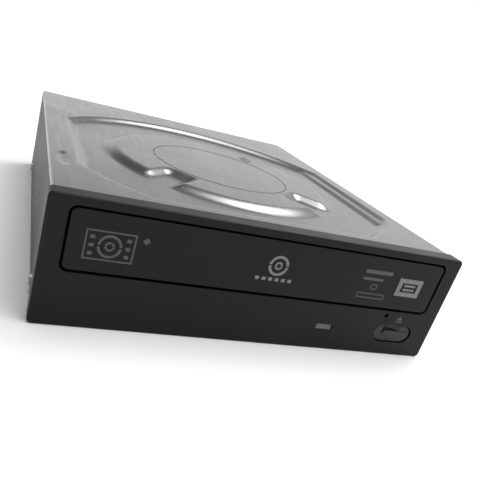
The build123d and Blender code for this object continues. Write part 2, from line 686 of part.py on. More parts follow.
def lead_screw():
    """Screw with rounded helical ridges, drawn as rings, between motor and bracket."""
    start = 82.6
    pitch = 1.2
    turns = 49
    end = start + pitch * turns
    points = [(0, -4.0), (1.0, -4.0), (1.0, 0.0), (1.2, 0.0)]
    for turn in range(turns):
        along = turn * pitch
        points += [(1.2, along + 0.3), (1.5, along + 0.5), (1.5, along + 0.8), (1.2, along + 1.0)]
    points += [(1.2, end - start), (1.0, end - start), (1.0, end - start + 1.0), (0, end - start + 1.0)]
    face = make_face(Polyline(*points, close=True))
    return Pos(SCREW_X, FRONT + start, SCREW_Z) * revolve(face, Axis.Y)


def screw_bracket():
    """Bent steel bracket that carries the far end of the lead screw."""
    upright = block(25, 32, 142.2, 143.2, 19, PLATE_TOP + 1)
    foot = block(25, 32, 143.2, 149, PLATE_TOP, PLATE_TOP + 1)
    return upright + foot - rod_along(SCREW_X, SCREW_Z, 141, 144, 1.0 + RUNNING)


def pickup_body():
    """Cast carriage of the pickup with two bored lugs and a pocket for the lens."""
    body = block(-17, 17, 87, 108, 19.5, 29.0)
    body = body.fillet(1.5, body.edges().filter_by(Axis.Z))
    body = body + block(-23.3, 23.3, 90, 105, 22.8, 27.6)
    body = body + block(-13, 13, 95, 111, 16.8, 19.5)
    body = body - block(-9.5, 9.5, 89.5, 102.5, 26.0, 30)
    for x in (-ROD_X, ROD_X):
        body = body - rod_along(x, ROD_Z, 85, 110, 1.5 + RUNNING)
    return body


def pickup_cover():
    """Thin plate over the pickup with an opening round the lens holder."""
    cover = block(-16.5, 16.5, 87.5, 107.5, 29.0, 29.3)
    return cover - block(-8, 8, 90, 102, 28, 30)


def rack_follower():
    """Nut half that rides on the lead screw and pulls the pickup along."""
    follower = block(23.3, 26.6, 94, 102, 21.6, 26.2)
    return follower + block(26.6, 30, 94, 102, 25.0, 26.2)


def actuator_magnets():
    """Two magnets beside the lens holder."""
    return both_sides(block(6.8, 9.3, 91, 101, 26.0, 28.6))


def lens_holder():
    """Small moulded holder that floats between the magnets."""
    holder = block(-5.8, 5.8, 91, 101, 27.4, 30.0)
    holder = holder.fillet(0.6, holder.edges().filter_by(Axis.Z))
    return holder - post(0, LENS_DEPTH, 29.2, 31, 2.5)


def objective_lens():
    """Objective lens: a short drum with a domed top."""
    drum = post(0, LENS_DEPTH, 29.2, 30.9, 2.5)
    dome = Pos(0, FRONT + LENS_DEPTH, 26.6) * Sphere(4.2)
    return drum & dome


# ---- electronics ----
def main_board():
    """Main circuit board that covers the floor."""
    board = block(-62, 62, 48, 166, BOARD_BOTTOM, BOARD_TOP)
    for depth in BOARD_SCREW_DEPTHS:
        for side in (-1, 1):
            board = board - post(side * BOARD_SCREW_X, depth, 1, 4, 1.3)
    return board


def board_screws():
    """Four screws that hold the main board to the floor."""
    screws = []
    for depth in BOARD_SCREW_DEPTHS:
        for side in (-1, 1):
            screws.append(pan_screw(side * BOARD_SCREW_X, depth, BOARD_TOP, 3.0, 2.3, 1.25, 1.2))
    return Compound(children=screws)


def chips():
    """Packages of the controller, memory, motor driver and power parts."""
    places = ((0, 118, 16, 16), (-28, 122, 10, 16), (26, 92, 12, 12), (-30, 88, 8, 10), (42, 140, 6, 8))
    packages = []
    for x, depth, wide, deep in places:
        package = block(x - wide / 2, x + wide / 2, depth - deep / 2, depth + deep / 2, BOARD_TOP, 4.7)
        packages.append(package.chamfer(0.2, None, package.edges().group_by(Axis.Z)[-1]))
    return Compound(children=packages)


def capacitors():
    """Round capacitors along the back of the board."""
    cans = []
    for x in (-50, -41, -32):
        can = post(x, 160.5, BOARD_TOP, 10.5, 3.1)
        cans.append(can.fillet(0.4, can.edges().group_by(Axis.Z)[-1]))
    return Compound(children=cans)


def sata_connector():
    """Combined data and power socket at the back, with a tongue in each opening."""
    body = block(16, 60, 159, LENGTH, BOARD_TOP, 11.3)
    for x0, x1 in ((18, 29.6), (33.5, 58)):
        pocket = block(x0, x1, 163.5, LENGTH + 1, 5.0, 9.8)
        tongue = block(x0 + 0.8, x1 - 0.8, 163, LENGTH - 0.6, 6.6, 7.8)
        body = body - (pocket - tongue)
    return body


def sata_contacts():
    """Flat contacts on the tongues, seven for data and fifteen for power."""
    strips = []
    for first, count in ((20.0, 7), (36.9, 15)):
        for number in range(count):
            x = first + number * 1.27
            strips.append(block(x - 0.4, x + 0.4, 163.5, LENGTH - 1.2, 7.8, 7.95))
    return Compound(children=strips)


STILL_PIECES = (
    top_cover, bottom_cover, case_screws, front_bezel, tray_door, eject_button,
    status_light_pipe, front_board, eject_switch, switch_plunger, status_lamp, board_ribbon,
    main_chassis, clamper_bridge, bridge_screws, clamper_hub, clamper_magnet,
    disc_tray, loading_motor, motor_screws, motor_pulley, pulley_gear, tray_gear, drive_belt,
    cam_slider, main_board, board_screws, chips, capacitors, sata_connector, sata_contacts,
)
LIFTED_PIECES = (
    lift_frame, traverse_base, rubber_dampers, damper_screws, spindle_board, spindle_stator,
    spindle_rotor, turntable, turntable_mat, guide_rods, rod_clips, sled_motor, lead_screw,
    screw_bracket, pickup_body, pickup_cover, rack_follower, actuator_magnets, lens_holder,
    objective_lens,
)

for make in STILL_PIECES:
    write(make.__name__, make())
for make in LIFTED_PIECES:
    write(make.__name__, lowered(make()))
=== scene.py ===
"""Looks for a half-height tray-loading optical disc drive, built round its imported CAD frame."""
import json
import math

import bmesh
import bpy
import numpy as np
from mathutils import Euler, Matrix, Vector


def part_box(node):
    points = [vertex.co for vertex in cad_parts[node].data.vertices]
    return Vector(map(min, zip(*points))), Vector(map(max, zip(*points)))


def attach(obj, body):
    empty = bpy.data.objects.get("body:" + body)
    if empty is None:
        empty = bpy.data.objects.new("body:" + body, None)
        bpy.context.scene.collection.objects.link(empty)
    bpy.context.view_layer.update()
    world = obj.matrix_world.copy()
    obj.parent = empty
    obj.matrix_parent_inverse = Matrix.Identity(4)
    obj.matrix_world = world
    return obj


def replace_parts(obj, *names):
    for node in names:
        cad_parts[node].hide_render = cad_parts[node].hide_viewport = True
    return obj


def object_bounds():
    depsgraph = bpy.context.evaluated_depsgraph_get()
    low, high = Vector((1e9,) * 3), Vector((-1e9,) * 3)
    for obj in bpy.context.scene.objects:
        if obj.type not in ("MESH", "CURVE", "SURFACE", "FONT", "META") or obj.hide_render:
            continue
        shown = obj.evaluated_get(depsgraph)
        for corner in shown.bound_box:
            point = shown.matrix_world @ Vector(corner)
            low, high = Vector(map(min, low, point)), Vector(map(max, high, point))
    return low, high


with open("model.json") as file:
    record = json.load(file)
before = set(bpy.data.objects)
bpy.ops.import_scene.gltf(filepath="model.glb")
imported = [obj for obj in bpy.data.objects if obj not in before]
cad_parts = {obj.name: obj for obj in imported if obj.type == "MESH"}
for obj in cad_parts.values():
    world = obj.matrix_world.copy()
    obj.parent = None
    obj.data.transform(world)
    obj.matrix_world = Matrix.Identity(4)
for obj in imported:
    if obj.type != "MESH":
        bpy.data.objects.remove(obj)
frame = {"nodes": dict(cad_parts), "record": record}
cad_low, cad_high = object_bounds()

MM = 0.001
FRONT = Vector(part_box("front_bezel")[0]).y
DOOR_FACE = Vector(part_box("tray_door")[0]).y
COVER_LOW, COVER_HIGH = (Vector(corner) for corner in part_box("top_cover"))
KEY_LOW, KEY_HIGH = (Vector(corner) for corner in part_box("eject_button"))
HUB_LOW, HUB_HIGH = (Vector(corner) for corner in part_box("clamper_hub"))
SPINDLE = ((HUB_LOW + HUB_HIGH) / 2).xy


# ---- node helpers ----
class Finish:
    """A Principled material with short calls for the nodes that feed it."""

    def __init__(self, name, metallic=0.0, **constants):
        self.material = bpy.data.materials.new(name)
        self.material.use_nodes = True
        self.nodes = self.material.node_tree.nodes
        self.links = self.material.node_tree.links
        self.shader = self.nodes["Principled BSDF"]
        self.shader.inputs["Metallic"].default_value = metallic
        for socket, value in constants.items():
            self.shader.inputs[socket.replace("_", " ")].default_value = value
        self.place = self.nodes.new("ShaderNodeTexCoord").outputs["Object"]
        self.height = None

    def add(self, kind, inputs=None, **settings):
        """A new node with its settings, and its inputs linked or set."""
        node = self.nodes.new(kind)
        for key, value in settings.items():
            setattr(node, key, value)
        for socket, value in (inputs or {}).items():
            if isinstance(value, bpy.types.NodeSocket):
                self.links.new(value, node.inputs[socket])
            else:
                node.inputs[socket].default_value = value
        return node

    def stretched(self, scale):
        """Object coordinates scaled by a different amount on each axis."""
        return self.add("ShaderNodeMapping", {"Vector": self.place, "Scale": scale}).outputs["Vector"]

    def noise(self, scale, detail=3.0, stretch=None):
        """Noise whose scale is in features per metre."""
        where = self.stretched(stretch) if stretch else self.place
        values = {"Vector": where, "Scale": scale, "Detail": detail}
        return self.add("ShaderNodeTexNoise", values).outputs["Fac"]

    def cells(self, scale):
        """Cell pattern, such as the crystals of a zinc coating."""
        return self.add("ShaderNodeTexVoronoi", {"Vector": self.place, "Scale": scale})

    def span(self, value, low, high, to_low, to_high):
        """Value mapped from one range to another."""
        inputs = {"Value": value, "From Min": low, "From Max": high, "To Min": to_low, "To Max": to_high}
        return self.add("ShaderNodeMapRange", inputs).outputs["Result"]

    def blend(self, factor, first, second):
        """Colour mixed between two by a factor."""
        node = self.add("ShaderNodeMix", data_type="RGBA")
        self.links.new(factor, node.inputs["Factor"])
        for socket, value in (("A", first), ("B", second)):
            target = [item for item in node.inputs if item.name == socket and item.type == "RGBA"][0]
            if isinstance(value, bpy.types.NodeSocket):
                self.links.new(value, target)
            else:
                target.default_value = (*value, 1.0)
        return [item for item in node.outputs if item.type == "RGBA"][0]

    def colour(self, value):
        """Feed the base colour."""
        self.links.new(value, self.shader.inputs["Base Color"])

    def rough(self, value):
        """Feed the roughness."""
        self.links.new(value, self.shader.inputs["Roughness"])

    def bump(self, value, strength, distance):
        """Add one more layer of relief."""
        inputs = {"Height": value, "Strength": strength, "Distance": distance}
        if self.height is not None:
            inputs["Normal"] = self.height
        self.height = self.add("ShaderNodeBump", inputs).outputs["Normal"]
        self.links.new(self.height, self.shader.inputs["Normal"])


def grey(level, tint=0.0):
    """A grey with a little blue (positive) or warmth (negative)."""
    return (level * (1 - tint), level, level * (1 + tint))


# ---- materials ----
def zinc_steel(name, level=0.5, base_rough=0.3, edge=1.0):
    """Pressed zinc-coated sheet: crystal mottling, rolling lines, rubbed patches and fine scratches."""
    # Below 1, edge tints the grazing reflection dark: painted shade, used on the cover's walls and its ring
    # line.
    finish = Finish(name, metallic=1.0, Specular_Tint=(edge, edge, edge, 1.0))
    crystals = finish.cells(420.0).outputs["Color"]
    mottle = finish.add("ShaderNodeSeparateColor", {"Color": crystals}).outputs["Red"]
    cloud = finish.noise(38.0, 4.0)
    lines = finish.noise(900.0, 2.0, stretch=(1.0, 0.06, 1.0))
    base = finish.blend(finish.span(cloud, 0.3, 0.7, 0, 1), grey(level * 0.95), grey(level * 1.04))
    speckled = finish.blend(finish.span(mottle, 0, 1, 0, 0.16), base, grey(level * 0.72))
    scratch = finish.span(finish.noise(260.0, 1.0, stretch=(0.05, 1.6, 1.0)), 0.75, 0.78, 0, 0.3)
    finish.colour(finish.blend(scratch, speckled, grey(min(1.0, level * 1.45))))
    uneven = finish.span(cloud, 0.3, 0.7, base_rough - 0.02, base_rough + 0.04)
    grain = finish.span(lines, 0.3, 0.7, -0.02, 0.025)
    finish.rough(finish.add("ShaderNodeMath", {0: uneven, 1: grain}, operation="ADD").outputs[0])
    finish.bump(lines, 0.025, 0.00003)
    finish.bump(finish.noise(14.0, 1.0), 0.025, 0.0004)
    return finish.material


def textured_plastic(name, level=0.03, base_rough=0.4, grain=5200.0, depth=0.16, sheen=0.35):
    """Moulded plastic with spark-eroded grain, faint flow clouding, smoother patches and dust."""
    finish = Finish(name, Specular_IOR_Level=sheen)
    fine = finish.noise(grain, 2.0)
    cloud = finish.noise(45.0, 3.0)
    dust = finish.span(finish.noise(3100.0, 1.0), 0.72, 0.78, 0, 0.35)
    low, high = grey(level * 0.85, 0.01), grey(level * 1.15, 0.01)
    base = finish.blend(finish.span(cloud, 0.3, 0.7, 0, 1), low, high)
    finish.colour(finish.blend(dust, base, grey(min(1.0, level * 2.4 + 0.02))))
    finish.rough(finish.span(cloud, 0.3, 0.7, base_rough - 0.06, base_rough + 0.07))
    finish.bump(fine, depth, 0.00008)
    finish.bump(finish.noise(30.0, 1.0), 0.05, 0.0008)
    return finish.material


def soft_rubber(name, level=0.025):
    """Matt rubber with a fine bloom."""
    finish = Finish(name)
    bloom = finish.noise(700.0, 4.0)
    finish.colour(finish.blend(finish.span(bloom, 0.3, 0.8, 0, 1), grey(level), grey(level * 2.6)))
    finish.rough(finish.span(bloom, 0.2, 0.8, 0.68, 0.9))
    finish.bump(finish.noise(4200.0, 2.0), 0.25, 0.00006)
    return finish.material


def plated_steel(name, level=0.55, base_rough=0.28):
    """Zinc-plated screw steel with turning marks and small stains."""
    finish = Finish(name, metallic=1.0)
    stain = finish.noise(600.0, 3.0)
    stained = finish.span(stain, 0.4, 0.7, 0, 1)
    finish.colour(finish.blend(stained, grey(level, 0.02), grey(level * 0.6, -0.03)))
    finish.rough(finish.span(stain, 0.3, 0.7, base_rough, base_rough + 0.2))
    finish.bump(finish.noise(2600.0, 2.0), 0.1, 0.00004)
    return finish.material


def polished_rod(name):
    """Ground and polished rod with faint rings and a film of grease."""
    finish = Finish(name, metallic=1.0)
    rings = finish.noise(1500.0, 1.0, stretch=(0.05, 1.0, 0.05))
    film = finish.noise(160.0, 3.0)
    finish.colour(finish.blend(finish.span(film, 0.4, 0.7, 0, 1), grey(0.74), grey(0.6, -0.04)))
    finish.rough(finish.span(film, 0.3, 0.8, 0.08, 0.26))
    finish.bump(rings, 0.04, 0.00003)
    return finish.material


def cast_zinc(name, level=0.42):
    """Die-cast metal with a fine orange-peel skin."""
    finish = Finish(name, metallic=1.0)
    skin = finish.noise(1400.0, 3.0)
    cloud = finish.span(finish.noise(90.0), 0.3, 0.7, 0, 1)
    finish.colour(finish.blend(cloud, grey(level), grey(level * 1.3)))
    finish.rough(finish.span(skin, 0.3, 0.7, 0.36, 0.52))
    finish.bump(skin, 0.22, 0.0001)
    return finish.material


def acetal(name):
    """Natural white gear plastic, slightly translucent, yellowed unevenly."""
    finish = Finish(name, Subsurface_Weight=0.12, Subsurface_Scale=0.002)
    cloud = finish.noise(110.0, 3.0)
    finish.colour(finish.blend(finish.span(cloud, 0.3, 0.7, 0, 1), (0.78, 0.76, 0.69), (0.86, 0.85, 0.8)))
    finish.rough(finish.span(cloud, 0.3, 0.7, 0.34, 0.5))
    finish.bump(finish.noise(1900.0, 2.0), 0.08, 0.00005)
    return finish.material


def circuit_board(name):
    """Green solder mask over a grid of slightly paler copper runs, with small plated holes."""
    finish = Finish(name, Coat_Weight=0.25)
    grid = finish.add("ShaderNodeTexBrick", {
        "Vector": finish.place, "Scale": 130.0, "Mortar Size": 0.05, "Bias": -0.4,
        "Color1": (0.012, 0.10, 0.035, 1), "Color2": (0.016, 0.13, 0.045, 1),
        "Mortar": (0.02, 0.2, 0.07, 1),
    }).outputs["Color"]
    holes = finish.span(finish.cells(330.0).outputs["Distance"], 0.10, 0.13, 1, 0)
    mask = finish.noise(55.0, 3.0)
    shade = finish.blend(finish.span(mask, 0.3, 0.7, 0, 0.6), grid, (0.01, 0.075, 0.028))
    finish.colour(finish.blend(holes, shade, (0.5, 0.42, 0.22)))
    finish.rough(finish.span(mask, 0.3, 0.7, 0.28, 0.42))
    finish.bump(finish.noise(900.0, 2.0), 0.08, 0.00005)
    return finish.material


def gold_flash(name):
    """Gold contact strip with wipe marks."""
    finish = Finish(name, metallic=1.0)
    wipe = finish.noise(1200.0, 2.0, stretch=(1.0, 0.08, 1.0))
    finish.colour(finish.blend(finish.span(wipe, 0.35, 0.7, 0, 1), (0.85, 0.62, 0.28), (0.7, 0.5, 0.22)))
    finish.rough(finish.span(wipe, 0.3, 0.7, 0.16, 0.34))
    return finish.material


def clear_lens(name):
    """Coated lens with a faint blue bloom."""
    finish = Finish(name, Transmission_Weight=0.7, IOR=1.5, Coat_Weight=0.4)
    bloom = finish.noise(500.0, 2.0)
    finish.colour(finish.blend(finish.span(bloom, 0.3, 0.7, 0, 1), (0.35, 0.5, 0.7), (0.5, 0.62, 0.75)))
    finish.rough(finish.span(bloom, 0.2, 0.8, 0.03, 0.08))
    return finish.material


def frosted_lamp(name, level=0.08):
    """Milky plastic lamp window with fine ribs."""
    finish = Finish(name, Subsurface_Weight=0.2, Subsurface_Scale=0.001)
    cloud = finish.noise(500.0, 2.0)
    finish.colour(finish.blend(finish.span(cloud, 0.3, 0.7, 0, 1), grey(level), grey(level * 1.25)))
    finish.rough(finish.span(cloud, 0.3, 0.7, 0.3, 0.45))
    finish.bump(finish.noise(2500.0, 1.0, stretch=(1.0, 1.0, 0.1)), 0.15, 0.00005)
    return finish.material


def printed_ink(name, level=0.2):
    """Screen-printed ink with thin spots."""
    finish = Finish(name)
    thin = finish.noise(1500.0, 3.0)
    finish.colour(finish.blend(finish.span(thin, 0.35, 0.65, 0, 1), grey(level * 0.8), grey(level * 1.15)))
    finish.rough(finish.span(thin, 0.3, 0.7, 0.42, 0.6))
    finish.bump(thin, 0.1, 0.00002)
    return finish.material


def flat_ribbon(name):
    """White ribbon cable with its conductors showing through."""
    finish = Finish(name)
    wave = {"Vector": finish.place, "Scale": 160.0, "Distortion": 0.3}
    stripes = finish.add("ShaderNodeTexWave", wave).outputs["Fac"]
    finish.colour(finish.blend(stripes, (0.72, 0.72, 0.74), (0.5, 0.5, 0.52)))
    finish.rough(finish.span(finish.noise(300.0), 0.3, 0.7, 0.35, 0.5))
    finish.bump(stripes, 0.2, 0.0001)
    return finish.material


steel = zinc_steel("cover_steel", 0.27, 0.24)
# The folded walls and corner posts take a copy of the cover steel with its grazing reflection tinted dark:
# painted shade for the shaded sides.
shaded_side_steel = zinc_steel("shaded_side_steel", 0.36, 0.4, edge=0.2)
inner_steel = zinc_steel("inner_steel", 0.42, 0.34)
bezel_black = textured_plastic("bezel_black", 0.006, 0.33, sheen=0.16)
key_black = textured_plastic("key_black", 0.012, 0.26, 6500.0, 0.1, sheen=0.3)
# The ring line's steel is the cover steel made far darker: painted shade standing for the shadow in the
# pressed line.
ring_shade_steel = zinc_steel("ring_shade_steel", 0.07, 0.5, edge=0.5)
tray_black = textured_plastic("tray_black", 0.035, 0.45, 3800.0, 0.2)
chassis_black = textured_plastic("chassis_black", 0.045, 0.55, 2600.0, 0.3)
epoxy_black = textured_plastic("epoxy_black", 0.03, 0.6, 5000.0, 0.3)
magnet_grey = textured_plastic("magnet_grey", 0.12, 0.3, 3000.0, 0.1)
white_gear = acetal("white_gear")
black_rubber = soft_rubber("black_rubber")
screw_zinc = plated_steel("screw_zinc")
rod_steel = polished_rod("rod_steel")
cast_metal = cast_zinc("cast_metal")
board_green = circuit_board("board_green")
contact_gold = gold_flash("contact_gold")
lens_clear = clear_lens("lens_clear")
lamp_milk = frosted_lamp("lamp_milk")
ink_grey = printed_ink("ink_grey", 0.048)
ink_pale = printed_ink("ink_pale", 0.15)
ribbon_white = flat_ribbon("ribbon_white")

BY_SLOT = {
    "pressed_steel": inner_steel, "bezel_plastic": bezel_black, "key_plastic": key_black,
    "chassis_plastic": chassis_black, "tray_plastic": tray_black, "gear_plastic": white_gear,
    "rubber": black_rubber, "screw_steel": screw_zinc, "polished_steel": rod_steel,
    "dark_magnet": magnet_grey, "board_green": board_green, "chip_black": epoxy_black,
    "gold_contact": contact_gold, "lens_glass": lens_clear, "lamp_lens": lamp_milk,
    "cast_metal": cast_metal, "ribbon": ribbon_white, "capacitor_can": cast_metal,
}
for part in frame["record"]["subparts"]:
    node = frame["nodes"][part["node"]]
    node.data.materials.clear()
    node.data.materials.append(BY_SLOT[part["material_slot"]])


# ---- mesh helpers ----
def new_piece(name, mesh, body, material):
    """Put a mesh in the scene, on a body, with its finish."""
    piece = bpy.data.objects.new(name, mesh)
    bpy.context.scene.collection.objects.link(piece)
    mesh.materials.append(material)
    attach(piece, body)
    return piece


def closed_mesh(name, points, faces):
    """A mesh of a closed shape, with every face turned outward."""
    mesh = bpy.data.meshes.new(name)
    mesh.from_pydata(points, [], faces)
    cells = bmesh.new()
    cells.from_mesh(mesh)
    bmesh.ops.recalc_face_normals(cells, faces=cells.faces)
    cells.to_mesh(mesh)
    cells.free()
    return mesh


def soft_step(value):
    """Smooth rise from 0 to 1 as the value goes from 0 to 1."""
    held = np.clip(value, 0.0, 1.0)
    return held * held * (3.0 - 2.0 * held)


# ---- pressed cover ----
SHEET = 0.8 * MM
PRESS = 1.8 * MM
FOLD = 1.2 * MM
PAN_LEFT, PAN_RIGHT = SPINDLE.x - 64 * MM, SPINDLE.x + 66 * MM
PAN_FRONT, PAN_BACK = FRONT + 11 * MM, SPINDLE.y + 90 * MM
PAN_CORNER, PAN_RADIUS, PAN_SLOPE = 12 * MM, 73.5 * MM, 4.6 * MM
STEP_GAP, STEP_ONE_SLOPE, STEP_TWO_SLOPE = 5.4 * MM, 3.4 * MM, 3.6 * MM
# The outline runs this far past the steps, so that they alone shape the edge beside the spindle.
STEP_ROOM = 8 * MM
PLATEAU_RADIUS, PLATEAU_SLOPE = 44.5 * MM, 6.8 * MM
NOTCH_HEADINGS = (45, 225, 315)
NOTCH_HALF_WIDTH, NOTCH_SIDE_SLOPE = 3.6 * MM, 4.6 * MM
NOTCH_START, NOTCH_END_SLOPE = 31 * MM, 5.5 * MM
STAMP_X, STAMP_Y = SPINDLE.x - 68.3 * MM, FRONT + 39 * MM
STAMP_HALF_WIDTH, STAMP_HALF_LENGTH = 1.6 * MM, 9.0 * MM
STAMP_DEPTH, STAMP_STEEPNESS = 0.35 * MM, 3


def pan_share(x, y, from_spindle):
    """The pan's depth from 0 at the flange to 1 on its floor, with two steps down from the right."""
    right = PAN_RIGHT + STEP_ROOM
    over_x = np.abs(x - (PAN_LEFT + right) / 2) - (right - PAN_LEFT) / 2 + PAN_CORNER
    over_y = np.abs(y - (PAN_FRONT + PAN_BACK) / 2) - (PAN_BACK - PAN_FRONT) / 2 + PAN_CORNER
    outside = np.hypot(np.maximum(over_x, 0), np.maximum(over_y, 0))
    from_edge = PAN_CORNER - outside - np.minimum(np.maximum(over_x, over_y), 0)
    inside = np.minimum(from_edge, PAN_RADIUS - from_spindle)
    step_one = soft_step((PAN_RIGHT - x) / STEP_ONE_SLOPE)
    step_two = soft_step((PAN_RIGHT - STEP_GAP - x) / STEP_TWO_SLOPE)
    return np.minimum(soft_step(inside / PAN_SLOPE), 0.5 * step_one + 0.5 * step_two)


def plateau_share(x, y, from_spindle):
    """The round plateau's height from 0 to 1, with notches that run in from its edge."""
    raised = 1.0 - soft_step((from_spindle - PLATEAU_RADIUS) / PLATEAU_SLOPE)
    for heading in NOTCH_HEADINGS:
        angle = math.radians(heading)
        along = (x - SPINDLE.x) * math.cos(angle) + (y - SPINDLE.y) * math.sin(angle)
        across = np.abs((y - SPINDLE.y) * math.cos(angle) - (x - SPINDLE.x) * math.sin(angle))
        notch = 1.0 - soft_step((across - NOTCH_HALF_WIDTH) / NOTCH_SIDE_SLOPE)
        notch = notch * soft_step((along - NOTCH_START) / NOTCH_END_SLOPE)
        raised = raised * (1.0 - notch)
    return raised


def pressing(x, y):
    """How far the pressed top lies below its flange, in metres, at each place."""
    from_spindle = np.hypot(x - SPINDLE.x, y - SPINDLE.y)
    pressed = PRESS * pan_share(x, y, from_spindle) * (1.0 - plateau_share(x, y, from_spindle))
    stamp = np.hypot((x - STAMP_X) / STAMP_HALF_WIDTH, (y - STAMP_Y) / STAMP_HALF_LENGTH)
    return pressed + STAMP_DEPTH * soft_step((1.0 - stamp) * STAMP_STEEPNESS)


def cover_skin():
    """The cover's top as one pressed sheet, folded down softly along three edges."""
    bend_steps = 6
    points_across, points_along = 176, 200
    turns = [math.pi / 2 * step / bend_steps for step in range(1, bend_steps + 1)]
    bend = [FOLD * math.sin(turn) for turn in turns]
    drop = [FOLD * (1 - math.cos(turn)) for turn in turns]
    flat_x = np.linspace(COVER_LOW.x + FOLD, COVER_HIGH.x - FOLD, points_across)
    left_bend = [flat_x[0] - out for out in reversed(bend)]
    across = np.concatenate([left_bend, flat_x, [flat_x[-1] + out for out in bend]])
    across_drop = np.concatenate([list(reversed(drop)), np.zeros(points_across), drop])
    flat_y = np.linspace(COVER_LOW.y, COVER_HIGH.y - FOLD, points_along)
    along = np.concatenate([flat_y, [flat_y[-1] + out for out in bend]])
    along_drop = np.concatenate([np.zeros(points_along), drop])
    grid_x, grid_y = np.meshgrid(across, along)
    fall = np.minimum(across_drop[None, :] + along_drop[:, None], FOLD)
    height = COVER_HIGH.z - fall - pressing(grid_x, grid_y)
    rows, columns = grid_x.shape
    upper = np.stack([grid_x, grid_y, height], axis=-1).reshape(-1, 3)
    lower = upper.copy()
    lower[:, 0] = np.clip(lower[:, 0], COVER_LOW.x + SHEET, COVER_HIGH.x - SHEET)
    lower[:, 1] = np.minimum(lower[:, 1], COVER_HIGH.y - SHEET)
    lower[:, 2] = np.maximum(lower[:, 2] - SHEET, COVER_HIGH.z - PRESS - 2 * SHEET)
    count = rows * columns
    faces = []
    for row in range(rows - 1):
        for column in range(columns - 1):
            corner = row * columns + column
            ring = (corner, corner + 1, corner + columns + 1, corner + columns)
            faces.append(ring)
            faces.append(tuple(count + item for item in reversed(ring)))
    rim = list(range(columns))
    rim += [row * columns + columns - 1 for row in range(1, rows)]
    rim += [(rows - 1) * columns + column for column in range(columns - 2, -1, -1)]
    rim += [row * columns for row in range(rows - 2, 0, -1)]
    for here, following in zip(rim, rim[1:] + rim[:1]):
        faces.append((following, here, count + here, count + following))
    mesh = bpy.data.meshes.new("cover_top_skin")
    mesh.from_pydata(np.concatenate([upper, lower]).tolist(), [], faces)
    mesh.shade_smooth()
    piece = new_piece("cover_top_skin", mesh, "root", steel)
    split = piece.modifiers.new("crisp_edges", "EDGE_SPLIT")
    split.split_angle = math.radians(50)
    return piece


def box_mesh(name, low, high):
    """A mesh box between two corners."""
    cells = bmesh.new()
    bmesh.ops.create_cube(cells, size=1.0)
    for vertex in cells.verts:
        vertex.co = [(a + b) / 2 + c * (b - a) for a, b, c in zip(low, high, vertex.co)]
    mesh = bpy.data.meshes.new(name)
    cells.to_mesh(mesh)
    cells.free()
    return mesh


def cut_away(piece, cutters):
    """Cut every cutter mesh out of a piece and keep the result as its mesh."""
    for number, mesh in enumerate(cutters):
        tool = bpy.data.objects.new(f"tool_{number}", mesh)
        bpy.context.scene.collection.objects.link(tool)
        change = piece.modifiers.new("cut", "BOOLEAN")
        change.operation = "DIFFERENCE"
        change.solver = "EXACT"
        change.object = tool
        graph = bpy.context.evaluated_depsgraph_get()
        result = bpy.data.meshes.new_from_object(piece.evaluated_get(graph))
        piece.modifiers.clear()
        piece.data = result
        bpy.data.objects.remove(tool)


def drill(x, y, z, radius, reach):
    """A cutter cylinder along X."""
    cells = bmesh.new()
    turn = Euler((0, math.pi / 2, 0)).to_matrix().to_4x4()
    turn.translation = (x, y, z)
    bmesh.ops.create_cone(
        cells, cap_ends=True, segments=32, radius1=radius, radius2=radius, depth=reach, matrix=turn)
    mesh = bpy.data.meshes.new("drill")
    cells.to_mesh(mesh)
    cells.free()
    return mesh


MOUNT_HOLE_RADIUS, SCREW_HOLE_RADIUS = 1.25 * MM, 1.3 * MM
SCREW_INSET = 2.2 * MM
WALL_CUT = 4 * MM
REAR_CUT = Vector((0, 3 * MM, 0))
SOCKET_GAP, SOCKET_HEADROOM = 2 * MM, 1 * MM
SLOT_COUNT, SLOT_START, SLOT_PITCH, SLOT_WIDTH = 6, -58 * MM, 9 * MM, 6 * MM
SLOT_LOW, SLOT_HIGH = 22 * MM, 24.5 * MM


def mount_rows():
    """Depths and heights of the side mounting holes, from the record's mount."""
    mount = next(item for item in frame["record"]["mounts"] if item["name"] == "side_holes_left")
    along, upward = mount["dims"]["spacing_x_mm"] * MM / 2, mount["dims"]["spacing_y_mm"] * MM / 2
    y, z = mount["pos_m"][1], mount["pos_m"][2]
    return [(y + a, z + b) for a in (-along, along) for b in (-upward, upward)]


